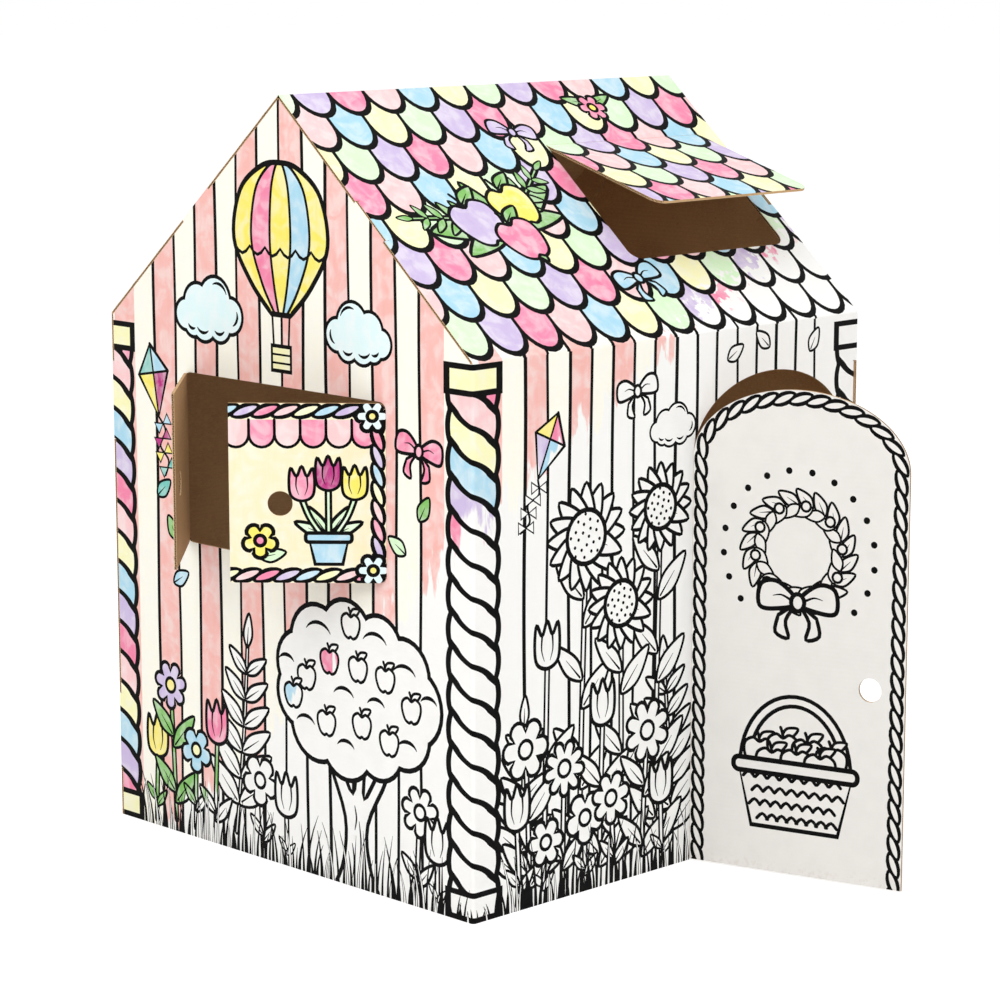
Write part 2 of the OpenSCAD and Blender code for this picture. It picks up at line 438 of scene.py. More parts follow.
def grass(pic, u0, u1, height, seed, gap=8.5):
    """Tapering blades along the foot of a wall, some of them open and some solid."""
    rng = random.Random(seed)
    u = u0
    while u < u1:
        tall = height * rng.uniform(0.35, 1.0)
        lean = rng.uniform(-0.28, 0.28) * tall
        foot = rng.uniform(3.0, 6.5)
        blade = [at(u + lean * t * t, -4 + tall * t) for t in (0, 0.25, 0.5, 0.75, 1)]
        pic.stroke(blade, foot + 2.5, ends=(1, 0.1))
        if rng.random() < 0.35 and foot > 4:
            pic.stroke(blade[:-1], foot - 1.5, "liner", ends=(1, 0.3))
        u += gap * rng.uniform(0.45, 1.5)


# Motifs, each round its own middle or foot

def leaf(pen, length, ink="liner", wide=0.36, width=None):
    half = length * wide / 2
    width = width or min(4.0, length * 0.075)
    line = smooth([(0, 0), (length * 0.3, half), (length * 0.65, half * 0.85), (length, 0),
                   (length * 0.65, -half * 0.85), (length * 0.3, -half)], closed=True, steps=4)
    pen.shape(line, ink, width)
    if length > 36:
        pen.stroke(path((length * 0.08, 0), (length * 0.6, 0)), width * 0.7, ends=(1, 0.2))


def stem(pen, line, ink, width):
    curve = smooth(line, steps=8)
    pen.stroke(curve, width)
    pen.stroke(curve, width - 6.5, ink)


def blossom(pen, petals, radius, ink="liner", heart="liner"):
    pen.shape(lobed(radius, petals, 0.42), ink)
    pen.shape(oval(0, 0, radius * 0.3, steps=16), heart, 4.5)


def sunflower(pen, radius, ink="liner", petals=16, seeds=21):
    for k in range(petals):
        leaf(pen.pen(turn=360 * k / petals), radius, ink, wide=0.42, width=4.5)
    pen.shape(oval(0, 0, radius * 0.5), ink, 6)
    for k in range(seeds):
        spread = radius * 0.44 * sqrt((k + 0.5) / seeds)
        pen.fill(oval(spread * cos(2.4 * k), spread * sin(2.4 * k), 3.0, steps=6), "ink")


def tulip(pen, ink="liner"):
    cup = symmetric((0, 70), ((11, 48), (23, 66), (27, 34), (22, 6)))
    pen.shape(smooth([*cup, (0, -4)], closed=True, steps=5), ink)
    for side in (-1, 1):
        pen.stroke(smooth([(side * 11, 48), (side * 12, 26), (side * 6, 8)]), 3.5, ends=(1, 0.2))


def planted(pen, height, lean, head, *how, green="liner"):
    """A flower on a stem with leaves, standing at the pen's place."""
    stem(pen, [(0, 0), (lean * 0.4, height * 0.5), (lean, height)], green, 10)
    pairs = max(1, round(height / 150))
    size = min(0.36 * height, 92)
    for k in range(pairs):
        share = (0.3 + k) / (pairs + 0.4)
        leaf(pen.pen(lean * share * 0.8, height * share, turn=48), size, green)
        leaf(pen.pen(lean * share * 0.8, height * (share + 0.08), turn=134), size * 0.92, green)
    head(pen.pen(lean, height), *how)


def flower_bed(pic, flowers, green="liner"):
    for u, v, *how in flowers:
        planted(pic.pen(u, v), *how, green=green)


def sprig(pen, pairs, length, ink="liner"):
    stem(pen, [(0, 0), (4, length * 0.5), (0, length)], ink, 8)
    for k in range(pairs):
        up = length * (0.15 + 0.8 * k / pairs)
        size = length * 0.3 * (1 - 0.5 * k / pairs)
        for turn in (38, 142):
            leaf(pen.pen(2, up, turn=turn), size, ink)
    leaf(pen.pen(0, length * 0.95, turn=90), length * 0.17, ink)


def puff(pen, circles, ink, line):
    """Circles with one outline round them all."""
    for grow, colour in ((line, "ink"), (0, ink)):
        for u, v, r in circles:
            pen.fill(oval(u, v, r + grow, steps=28), colour)


def cloud(pen, ink="liner"):
    puff(pen, ((-58, -4, 24), (-28, 16, 32), (18, 24, 38), (58, 2, 28), (30, -16, 26), (-10, -14, 30),
               (-38, -16, 22)), ink, 6.5)
    for u, v, r, start in ((-40, -14, 13, 205), (-12, -12, 20, 215), (29, -14, 17, 225), (58, 3, 18, 290),
                           (24, 28, 26, 20)):
        curl = oval(u, v, r, start=start, end=start + 95, steps=8)
        pen.stroke(curl, 4, ends=(0.3, 0.3), swell=0.8)


def apple(pen, radius, ink="liner", green="liner"):
    leaf(pen.pen(0, radius * 0.8, turn=28), radius * 1.1, green, wide=0.5, width=3.5)
    side = ((0, 0.66), (0.42, 0.88), (0.92, 0.58), (0.98, -0.02), (0.68, -0.72), (0.26, -0.96))
    whole = [*side, (0, -0.84), *((-u, v) for u, v in side[:0:-1])]
    pen.shape(smooth([(u * radius, v * radius) for u, v in whole], closed=True, steps=4), ink, 3.8)
    pen.stroke(smooth([(0, radius * 0.66), (-1, radius), (-4, radius * 1.3)]), 4)


def air_balloon(pen, inks, basket_ink):
    """Envelope in gores, ropes and a basket."""
    crown, neck = 112.0, -118.0
    line = smooth(symmetric((0, crown), ((44, 104), (92, 66), (108, -8), (70, -72), (22, neck))))
    for du in (-20, 20):
        pen.stroke(path((du, neck), (du * 0.85, -168)), 3.5)
    pen.shape(rectangle(-22, -204, 22, -166), basket_ink, 6)
    for v in (-192, -179):
        pen.stroke(path((-20, v), (20, v)), 2.5)

    def seam(share):
        return [at(p.x * share, p.y) for p in line[len(line) // 2:]]

    gores = (-1, -0.62, -0.22, 0.22, 0.62, 1)
    for a, b, ink in zip(gores, gores[1:], inks):
        pen.fill(seam(b) + seam(a)[::-1], ink)
    for share in gores[1:-1]:
        pen.stroke(seam(share), 4)
    pen.stroke(line, 6.5, closed=True)
    wave = [at(-106 + 212 * i / 24, -18 - 12 * abs(sin(pi * i / 4))) for i in range(25)]
    pen.stroke(wave, 4)


def bow(pen, ink="liner"):
    for side in (-1, 1):
        def half(*places, **how):
            return smooth([(side * u, v) for u, v in places], **how)
        pen.shape(half((0, 0), (16, -24), (12, -46), (30, -40), (26, -18), steps=4), ink, 4)
        pen.shape(half((0, 0), (26, 24), (50, 20), (52, -8), (28, -10), closed=True), ink, 4.5)
        pen.stroke(half((8, 2), (22, 8), (34, 6)), 3, ends=(1, 0.2))
    pen.shape(oval(0, 0, 9, 11, steps=14), ink, 4.5)


def kite(pen, inks):
    corners = path((0, 62), (42, 10), (0, -70), (-42, 10))
    for a, b, ink in zip(corners, corners[1:] + corners[:1], inks):
        pen.fill([at(0, 10), a, b], ink)
    pen.stroke(corners[::2], 3.5)
    pen.stroke(corners[1::2], 3.5)
    pen.stroke(corners + corners[:2], 5.5)
    tail = smooth([(0, -70), (14, -96), (-6, -122), (12, -150), (-2, -176)])
    pen.stroke(tail, 4)
    for k, (spot, _) in enumerate(spaced(tail, 34)):
        for turn in (20, 200):
            pen.pen(*spot, turn=turn).shape(path((0, 0), (21, -11), (19, 11)), inks[k % len(inks)], 3.8)


def tree(pen, fruit, ink="liner"):
    """An apple tree with a round crown in clumps."""
    line = smooth([(-50, -6), (-28, 40), (-24, 110), (-58, 190), (-40, 200), (-6, 150), (6, 210), (22, 208),
                   (20, 146), (56, 196), (70, 184), (28, 106), (32, 40), (56, -6)], steps=4)
    pen.shape(line, ink, 6)
    for u, v0, v1 in ((-8, 14, 70), (8, 40, 108), (-2, 92, 132)):
        grain = smooth([(u, v0), (u + 4, (v0 + v1) / 2), (u, v1)])
        pen.stroke(grain, 3, ends=(0.3, 0.3), swell=0.6)
    middle, lobes = 312, 11
    clumps = [(132 * cos(a), middle + 84 * sin(a), 54 + 5 * cos(3 * a))
              for a in (2 * pi * k / lobes for k in range(lobes))]
    puff(pen, [*clumps, (-60, middle, 92), (60, middle, 92)], ink, 8)
    for u, v, r in ((-84, 384, 32), (46, 388, 30), (112, 350, 28), (-26, 294, 26), (48, 292, 22),
                    (-116, 236, 24), (-22, 214, 22), (118, 236, 24), (-160, 330, 20), (166, 316, 20)):
        curl = oval(u, v, r, r * 0.8, start=25, end=150, steps=10)
        pen.stroke(curl, 5, ends=(0.2, 0.2), swell=0.8)
    places = ((-112, 318), (-58, 352), (8, 350), (70, 344), (128, 306), (-66, 252), (16, 262), (78, 246),
              (-8, 416), (-144, 284))
    for k, spot in enumerate(places):
        apple(pen.pen(*spot), 21, fruit[k % len(fruit)], ink)


def wreath(pen, radius, ink):
    for a, spot in ring(20, radius):
        leaf(pen.pen(*spot, turn=a + 62), radius * 0.54, ink, wide=0.48)
        leaf(pen.pen(*spot, turn=a + 128), radius * 0.48, ink, wide=0.48)
    for _, spot in ring(10, radius, 9, 369):
        pen.pen(*spot).shape(oval(0, 0, 8, steps=12), ink, 3.2)
    bow(pen.pen(0, -radius - 6, 1.25), ink)


def basket(pen, ink):
    """A woven basket of apples with a hooped handle."""
    hoop = oval(0, 92, 82, 104, end=180)
    pen.stroke(hoop, 16)
    pen.stroke(hoop, 6.5, ink)
    for spot in ((-58, 112), (-20, 122), (20, 118), (58, 110), (-38, 98), (2, 100), (40, 98)):
        apple(pen.pen(*spot), 25, ink, ink)
    pen.shape(path((-92, 92), (-70, 0), (70, 0), (92, 92)), ink, 6)
    for row in range(4):
        v = 11 + 21 * row
        half = 70 + 22 * v / 92
        for k in range(8):
            u = (half - 13) * (k - 3.5 + 0.25 * (-1) ** row) / 3.75
            pen.stroke(smooth([(u - 9, v), (u, v + 8), (u + 9, v)], steps=3), 4)
    pen.shape(rounded(-100, 82, 100, 102, [9] * 4), ink, 6)


def pot_of_tulips(pen, pot, heads, green):
    for turn in (156, 124, 56, 24):
        leaf(pen.pen(0, 42, turn=turn), 56, green, wide=0.3)
    for (lean, tall), ink in zip(((-40, 100), (0, 116), (40, 102)), heads):
        stem(pen, [(lean * 0.2, 42), (lean * 0.7, 0.5 * (42 + tall)), (lean, tall)], green, 9)
        tulip(pen.pen(lean, tall, 0.72), ink)
    pen.shape(path((-30, 40), (-21, 0), (21, 0), (30, 40)), pot)
    pen.shape(rounded(-35, 34, 35, 48, [5] * 4), pot, 4.5)


# Panels: where a picture lies on the house

def folded(x, x0, n):
    """Place and height of a point that lies past a fold starting at x0, going down in x."""
    if x >= x0:
        return x, n
    a = (x0 - x) / FOLD
    return x0 - (FOLD + n) * sin(a), -FOLD + (FOLD + n) * cos(a)


class Panel:
    """A face of the house: its lower left corner, its way along and its way up, seen from outside.

    fold_u and fold_v say where it bends at its left and its lower edge, and tabs are the heights of
    the tabs that fold in at its other ends."""

    def __init__(self, origin, along, up=(0, 0, 1), fold_u=None, fold_v=None, tabs=(), tab_w=0.0):
        self.origin, self.along, self.up = Vector(origin), Vector(along), Vector(up)
        self.out = self.along.cross(self.up)
        self.fold_u, self.fold_v, self.tabs, self.tab_w = fold_u, fold_v, tabs, tab_w

    def point(self, u, v, n=0.0):
        if any(abs(v - h) < self.tab_w / 2 - CREASE for h in self.tabs):
            if u > LENGTH / 2:
                far, n = folded(LENGTH - u, NOTCH, n)
                u = LENGTH - far
            elif self.fold_u is None:
                u, n = folded(u, NOTCH, n)
        if self.fold_u is not None:
            u, n = folded(u, self.fold_u, n)
        if self.fold_v is not None:
            v, n = folded(v, self.fold_v, n)
        return self.origin + (self.along * u + self.up * v + self.out * n) * MM


back_y = MIDDLE.y + WIDTH / 2 * MM
front_y = MIDDLE.y - WIDTH / 2 * MM
left_x = MIDDLE.x - LENGTH / 2 * MM
right_x = MIDDLE.x + LENGTH / 2 * MM


def wall_panel(x, y, way):
    return Panel((x, y, 0), (way, 0, 0), fold_u=FOLD, tabs=(TAB_LOW, TAB_HIGH), tab_w=TAB_W)


def roof_panel(x, way):
    return Panel((x, MIDDLE.y, RIDGE * MM), (way, 0, 0), (0, way * cos(PITCH), sin(PITCH)),
                 fold_v=-EAVE_FLAT, tabs=(-ROOF_TAB_AT,), tab_w=ROOF_TAB_W)


GABLE = Panel((left_x, back_y, 0), (0, -1, 0))
WALL = wall_panel(left_x, front_y, 1)
ROOF = roof_panel(left_x, 1)
FAR_GABLE = Panel((right_x, front_y, 0), (0, 1, 0))
BACK_WALL = wall_panel(right_x, back_y, -1)
BACK_ROOF = roof_panel(right_x, -1)


def swing(child):
    """The turn that opens a flap from shut to the frame's rest pose."""
    joint = JOINTS[child]
    spot = Matrix.Translation(Vector(joint["pos_m"]))
    turn = Matrix.Rotation(radians(-joint["range_deg"][0]), 4, Vector(joint["axis"]))
    return spot @ turn @ spot.inverted()


# Materials

def linear(name):
    """A named colour for a shader socket."""
    def channel(c):
        c /= 255
        return c / 12.92 if c <= 0.04045 else ((c + 0.055) / 1.055) ** 2.4
    return (*(channel(c) for c in COLOURS[name]), 1.0)


def toned(colour, factor):
    return (*(min(1.0, c * factor) for c in colour[:3]), 1.0)


class Nodes:
    """A node tree, built up node by node."""

    def __init__(self, tree):
        self.tree = tree

    def add(self, kind, sockets=None, **settings):
        made = self.tree.nodes.new(kind)
        for key, value in settings.items():
            setattr(made, key, value)
        for key, value in (sockets or {}).items():
            self.set(made.inputs[key], value)
        return made

    def set(self, socket, value):
        if isinstance(value, bpy.types.NodeSocket):
            self.tree.links.new(value, socket)
        else:
            socket.default_value = value

    def math(self, operation, a, b=0.0):
        return self.add("ShaderNodeMath", {0: a, 1: b}, operation=operation).outputs[0]


class Shader(Nodes):
    """The nodes of a paper or board material."""

    def __init__(self, name):
        self.material = bpy.data.materials.new(name)
        self.material.use_nodes = True
        super().__init__(self.material.node_tree)
        self.inputs = self.tree.nodes["Principled BSDF"].inputs
        self.inputs["Specular IOR Level"].default_value = PAPER_SHINE
        self.place = self.add("ShaderNodeTexCoord").outputs["Object"]

    def noise(self, scale, detail=3.0, distortion=0.0, stretch=None):
        vector = self.place
        if stretch:
            vector = self.add("ShaderNodeMapping", {"Vector": vector, "Scale": stretch}).outputs[0]
        return self.add("ShaderNodeTexNoise", {"Vector": vector, "Scale": scale, "Detail": detail,
                                               "Distortion": distortion}).outputs["Fac"]

    def between(self, value, start, end, to_start=0.0, to_end=1.0):
        return self.add("ShaderNodeMapRange", {0: value, 1: start, 2: end, 3: to_start, 4: to_end},
                        interpolation_type="SMOOTHSTEP").outputs[0]

    def mix(self, share, a, b):
        made = self.add("ShaderNodeMix", {"Factor": share}, data_type="RGBA")
        colours = [s for s in made.inputs if s.type == "RGBA"]
        self.set(colours[0], a)
        self.set(colours[1], b)
        return next(s for s in made.outputs if s.type == "RGBA")

    def part(self, value, share, a, b):
        """Colour a, with b over it by a share of the value."""
        return self.mix(self.math("MULTIPLY", value, share), a, b)

    def along(self, way):
        made = self.add("ShaderNodeVectorMath", {0: self.place, 1: way}, operation="DOT_PRODUCT")
        return made.outputs["Value"]

    def ridges(self):
        """The board's flutes, as level waves."""
        return self.math("SINE", self.math("MULTIPLY", self.along((0, 0, 1)), 2 * pi / (FLUTE * MM)))

    def rough(self, scale, detail, least, most):
        self.set(self.inputs["Roughness"], self.between(self.noise(scale, detail), 0.2, 0.8, least, most))

    def complete(self, shade, fibre=0.5, flutes=0.35):
        """The material, with fine paper grain and the flutes showing through."""
        self.set(self.inputs["Base Color"], shade)
        ridge = self.math("MULTIPLY", self.ridges(), flutes)
        grain = self.math("ADD", self.math("MULTIPLY", self.noise(900, 4), fibre), ridge)
        bump = self.add("ShaderNodeBump", {"Strength": 0.12, "Distance": 0.0006, "Height": grain})
        self.set(self.inputs["Normal"], bump.outputs[0])
        return self.material


def fade_field(s, on_roof):
    """How far a point lies past the slanting front of the colouring, in millimetres."""
    if on_roof:
        way = Vector((-ROOF_RISE, 0, 1 / sin(PITCH)))
        start = Vector((left_x / MM + (EAVE - FRONT_HEIGHT) / WALL_RISE, 0, EAVE))
    else:
        way = Vector((-WALL_RISE, GABLE_RISE, 1))
        start = Vector((left_x / MM, front_y / MM, FRONT_HEIGHT))
    return s.math("SUBTRACT", s.along(way / MM), way.dot(start))


def ink_shade(s, colour):
    s.inputs["Specular IOR Level"].default_value = INK_SHINE
    s.rough(240, 2, 0.62, 0.76)
    return s.mix(s.between(s.noise(60, 3), 0.35, 0.75), colour, linear("worn_ink"))


def liner_shade(s, colour):
    """White paper, faintly mottled, scuffed along the floor."""
    s.rough(220, 3, 0.55, 0.7)
    shade = s.mix(s.between(s.noise(30, 5), 0.35, 0.75), colour, toned(colour, 0.97))
    near_floor = s.between(s.along((0, 0, 1)), 0.03, 0.0)
    scuff = s.math("MULTIPLY", near_floor, s.between(s.noise(140, 4), 0.5, 0.7))
    return s.part(scuff, 0.5, shade, linear("scuff"))


def wash_shade(s, colour, fade):
    """Water-based colour: paler pools, darker brush strokes and, with fade, a ragged front."""
    white = linear("liner")
    tint = tuple(c * 0.5 + w * 0.5 for c, w in zip(colour, white))
    deep = (*(c ** 1.25 for c in colour[:3]), 1.0)
    s.rough(220, 3, 0.5, 0.66)
    shade = s.part(s.between(s.noise(34, 4, distortion=0.8), 0.38, 0.66), 0.75, colour, tint)
    strokes = s.between(s.noise(26, 3, stretch=(3.2, 3.2, 0.45)), 0.42, 0.72)
    shade = s.part(strokes, 0.4, shade, deep)
    if not fade:
        return shade
    ragged = s.between(s.noise(24, 4, stretch=(2.4, 2.4, 0.5)), 0.3, 0.7, -FRONT_RAGGED, FRONT_RAGGED)
    past = s.math("ADD", fade_field(s, fade == "roof"), ragged)
    return s.mix(s.between(past, -FRONT_SOFT, FRONT_SOFT), white, shade)


@cache
def paint(name, fade):
    s = Shader(f"{name}_{fade}" if fade else name)
    colour = linear(name)
    if name == "ink":
        return s.complete(ink_shade(s, colour))
    if name in PRINTED:
        return s.complete(liner_shade(s, colour))
    return s.complete(wash_shade(s, colour, fade))


@cache
def kraft(name):
    """Brown board: long fibres, dark flecks and faint level flutes."""
    s = Shader(name)
    base = linear(name)
    pale, deep = toned(base, 1 + KRAFT_SPREAD), toned(base, 1 - KRAFT_SPREAD)
    s.rough(200, 3, 0.72, 0.9)
    shade = s.mix(s.between(s.noise(9, 4), 0.3, 0.7), deep, base)
    shade = s.part(s.between(s.noise(160, 4, stretch=(1, 1, 3.5)), 0.35, 0.7), 0.6, shade, pale)
    shade = s.mix(s.between(s.ridges(), 0.2, 1.0, 0.0, 0.22), shade, deep)
    shade = s.part(s.between(s.noise(420, 2), 0.68, 0.74), 0.45, shade, linear("edge_gap"))
    return s.complete(shade, fibre=0.8, flutes=0.5)


def ink_material(ink, fade=None):
    return kraft(ink) if ink in BROWN else paint(ink, None if ink in PRINTED else fade)


# Pieces

SLOTS = {"door": "door_board", "left_shutter": "shutter_board", "right_shutter": "shutter_board",
         "hatch": "roof_board"}


def shaped(name, skins, slot, fade=None, turn=None):
    """One object of some skins, each with its points, its faces and the ink of every face."""
    verts, faces, inks = [], [], []
    for points, sides, colours in skins:
        faces += [[i + len(verts) for i in side] for side in sides]
        verts += points
        inks += colours
    mesh = bpy.data.meshes.new(name)
    mesh.from_pydata(verts, [], faces)
    slots = sorted(set(inks))
    for ink in slots:
        mesh.materials.append(ink_material(ink, fade))
    mesh.polygons.foreach_set("material_index", [slots.index(i) for i in inks])
    if turn:
        mesh.transform(turn)
    made = bpy.data.objects.new(name, mesh)
    bpy.context.scene.collection.objects.link(made)
    return made


def house_piece(name, skins, slot="board", fade=None):
    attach(shaped(name, skins, slot, fade), "house")


def flap_piece(name, skins, child):
    """A piece of a flap, drawn shut and swung open."""
    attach(shaped(name, skins, SLOTS[child], turn=swing(child)), child)


def distance(p, a, b):
    """How far a point lies from the line between a and b."""
    t = min(max((p - a).dot(b - a) / (b - a).length_squared, 0), 1)
    return (p - a.lerp(b, t)).length


def cut_out(pic, outline, holes, splits):
    """The picture cut to an outline: its points, and its triangles with the ink on top of each."""
    count = len(pic.shapes)
    points, shapes = list(pic.points), list(pic.shapes)
    for line in (outline, *holes):
        shapes.append(list(range(len(points), len(points) + len(line))))
        points += line
    edges = [(len(points) + 2 * k, len(points) + 2 * k + 1) for k in range(len(splits))]
    points += [Vector(p) for split in splits for p in split]
    flat, _, tris, _, _, within = delaunay_2d_cdt(points, edges, shapes, 1, 1e-4, True)
    boxes = []
    for shape in pic.shapes:
        us, vs = zip(*(points[i] for i in shape))
        boxes.append((min(us), min(vs), max(us), max(vs)))
    chosen = {}
    # A triangle in the outline and in no hole takes the last shape that it really lies in: the
    # triangulation can name shapes that are elsewhere
    for tri, inside in zip(tris, within):
        if count in inside and max(inside) == count:
            u, v = sum((flat[i] for i in tri), at(0, 0)) / 3
            for i in sorted(inside, reverse=True)[1:]:
                box = boxes[i]
                if box[0] <= u <= box[2] and box[1] <= v <= box[3]:
                    chosen[tuple(tri)] = pic.inks[i]
                    break
    return flat, chosen


def skin(pic, panel, outline, holes=(), splits=(), hinges=()):
    """A thin skin: the picture cut to an outline, with its inks as faces, thinning out at hinges."""
    for a, b in hinges:
        beside = (b - a).normalized().orthogonal() * FOLD_BACK
        splits = [*splits, (a + beside, b + beside), (a - beside, b - beside)]
    flat, chosen = cut_out(pic, outline, holes, splits)
    used = sorted({i for tri in chosen for i in tri})
    index = {old: new for new, old in enumerate(used)}

    def height(p):
        return max(SKIN * min([1.0] + [distance(p, a, b) / FOLD_BACK for a, b in hinges]), 2 * SKIN_FOOT)

    verts = [panel.point(*flat[i], height(flat[i])) for i in used]
    faces = [[index[i] for i in tri] for tri in chosen]
    inks = list(chosen.values())
    sides = {(a, b): k for k, face in enumerate(faces) for a, b in zip(face, face[1:] + face[:1])}
    rim = {}
    for (a, b), k in sides.items():
        if (b, a) not in sides:
            for i in (a, b):
                if i not in rim:
                    rim[i] = len(verts)
                    verts.append(panel.point(*flat[used[i]], SKIN_FOOT))
            faces.append([b, a, rim[a], rim[b]])
            inks.append(inks[k])
    return verts, faces, inks


class EdgeStrip:
    """The board's thickness along a cut line: run along it, depth in from the face."""

    def __init__(self, panel, line, side):
        self.panel, self.line, self.side = panel, line, side
        self.runs = [0.0]
        for a, b in zip(line, line[1:]):
            self.runs.append(self.runs[-1] + (b - a).length)

    def point(self, run, depth, n=0.0):
        k = 0
        while k < len(self.runs) - 2 and run > self.runs[k + 1]:
            k += 1
        way = (self.line[k + 1] - self.line[k]).normalized()
        spot = self.line[k] + way * (run - self.runs[k]) + at(way.y, -way.x) * self.side * n * EDGE_SHARE
        return self.panel.point(spot.x, spot.y, -depth)


def cut_edge(panel, line, side=1):
    """The board's cut edge along a line, with its outside on the line's right, or for side -1 its left.

    The flutes run level, so they show as waves between the liners wherever the cut crosses them."""
    strip = EdgeStrip(panel, line, side)
    end = strip.runs[-1]
    # The strip's dark ground is painted shade, standing for the hollows between the flutes
    pic = Picture("edge_gap")
    rise = BOARD / 2 - EDGE_LINER / 2
    for a, b, run in zip(line, line[1:], strip.runs):
        length = (b - a).length
        if abs(b.y - a.y) < 0.35 * length:
            pic.fill(rectangle(run, EDGE_LINER, run + length, BOARD - EDGE_LINER), "edge_flute")
        else:
            wave = [at(x, BOARD / 2 + rise * cos(2 * pi * x / FLUTE))
                    for x in steps_between(run, run + length, FLUTE / 8)]
            pic.stroke(wave, EDGE_WAVE, "edge_flute")
    for d in (0.0, BOARD - EDGE_LINER):
        pic.fill(rectangle(0, d, end, d + EDGE_LINER), "edge_liner")
    splits = [((r, 0), (r, BOARD)) for r in strip.runs[1:-1]]
    return skin(pic, strip, rectangle(0, 0, end, BOARD), splits=splits)


def inner_fold(child, panel, a, b, away, steps=8):
    """The brown liner stretched round the inside of a flap's fold, bent round it as the flap stands open at
    rest.
    """
    joint = JOINTS[child]
    pivot, axis = Vector(joint["pos_m"]), Vector(joint["axis"])
    opened = radians(-joint["range_deg"][0])
    ends = [panel.point(*p, -BOARD - INNER_GAP) for p in (a, b)]
    shift = away * INNER_REACH * MM
    rows = [[p + shift for p in ends]]
    turns = [Matrix.Rotation(opened * i / steps, 3, axis) for i in range(steps + 1)]
    rows += [[pivot + turn @ (p - pivot) for p in ends] for turn in turns]
    rows.append([pivot + turns[-1] @ (p - shift - pivot) for p in ends])
    verts = [p for row in rows for p in row]
    faces = [[2 * i, 2 * i + 1, 2 * i + 3, 2 * i + 2] for i in range(len(rows) - 1)]
    made = shaped(f"{child}_inner_liner", [(verts, faces, ["kraft_board"] * len(faces))], SLOTS[child])
    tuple(rows[1][0])
    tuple(rows[-2][0])
    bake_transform(made)


# The pictures

GABLE_PLANKS = plank_edges(WIDTH, 52)
WALL_PLANKS = plank_edges(LENGTH, 47.5)
NEAR_CORNER = WIDTH - FOLD + CORNER_ARC / 2


def gable_picture():
    pic = Picture()
    planks(pic, GABLE_PLANKS, -10, RIDGE, PLANKS)
    cloud(pic.pen(248, 868, 0.95), "cloud")
    cloud(pic.pen(604, 862, 0.85, flip=-1), "cloud")
    air_balloon(pic.pen(WIDTH / 2, 1003, 1.02), ("sun", "hot_pink", "sun", "sky", "sun"), "yellow")
    kite(pic.pen(108, 752, 0.9, turn=10), ("sky", "magenta", "sun", "teal"))
    bow(pic.pen(735, 705, 0.95, turn=-8), "hot_pink")
    tree(pic.pen(588, 0), ("liner", "hot_pink", "liner", "sky", "liner", "sun"))
    sprig(pic.pen(300, 30, turn=-6), 6, 330)
    flower_bed(pic, (
        (94, 10, 112, 6, tulip, "sun"), (146, 20, 226, -10, blossom, 7, 40, "lilac", "sun"),
        (196, 16, 132, 4, blossom, 5, 38, "sky", "yellow"), (246, 0, 172, 8, tulip, "hot_pink")), "leaf")
    flower_bed(pic, (
        (366, 0, 128, -6, blossom, 5, 42), (424, 0, 84, 0, tulip),
        (726, 0, 150, 8, blossom, 7, 40), (772, 0, 80, 0, tulip)))
    for u, v, turn, ink in ((112, 560, 40, "teal"), (160, 492, 120, "leaf"), (150, 420, 30, "sky"),
                            (735, 600, 60, "leaf"), (705, 545, 150, "mint")):
        leaf(pic.pen(u, v, turn=turn), 44, ink, wide=0.55)
    grass(pic, 55, WIDTH - 60, 105, seed=5)
    column(pic, 0, FAR_COLUMN_TOP, True)
    column(pic, NEAR_CORNER, NEAR_COLUMN_TOP, True)
    grass(pic, WIDTH - 70, WIDTH, 60, seed=9)
    return pic


def far_gable_picture():
    pic = Picture()
    planks(pic, GABLE_PLANKS, -10, RIDGE, seed=3)
    grass(pic, 50, WIDTH - 50, 110, seed=13)
    column(pic, 0, FAR_COLUMN_TOP)
    column(pic, NEAR_CORNER, NEAR_COLUMN_TOP)
    return pic


def wall_garden(pic):
    """What stands on the front wall, left white to colour in but for the kite."""
    kite(pic.pen(158, 712, 0.8, turn=-24), ("hot_pink", "sky", "lilac", "sun"))
    bow(pic.pen(352, 772, 0.85, turn=6))
    cloud(pic.pen(432, 706, 0.6))
    sprig(pic.pen(440, 10, turn=4), 7, 330)
    sprig(pic.pen(92, 10, turn=-3), 6, 290)
    flower_bed(pic, (
        (226, 0, 560, 14, sunflower, 84), (398, 0, 585, 8, sunflower, 70), (322, 0, 445, -4, sunflower, 72),
        (150, 0, 372, 6, tulip), (120, 0, 250, -10, blossom, 6, 48), (272, 0, 262, 6, tulip),
        (368, 0, 232, 12, blossom, 8, 50), (190, 0, 205, 4, blossom, 9, 44), (98, 0, 130, -6, tulip),
        (240, 0, 118, 0, blossom, 5, 42), (306, 0, 138, -8, blossom, 7, 42), (146, 0, 96, 8, blossom, 6, 38),
        (416, 0, 112, -4, tulip)))
    for u, v, turn in ((560, 800, 30), (660, 812, 140), (760, 796, 60)):
        leaf(pic.pen(u, v, turn=turn), 42, wide=0.55)


def wall_picture(coloured=True):
    pic = Picture()
    planks(pic, WALL_PLANKS, -10, EAVE, PLANKS if coloured else None, seed=2)
    if coloured:
        wall_garden(pic)
    grass(pic, 50, LENGTH - 50, 120, seed=7)
    column(pic, FOLD - CORNER_ARC / 2, NEAR_COLUMN_TOP, coloured)
    column(pic, LENGTH, FAR_COLUMN_TOP)
    grass(pic, -10, 70, 60, seed=11)
    return pic


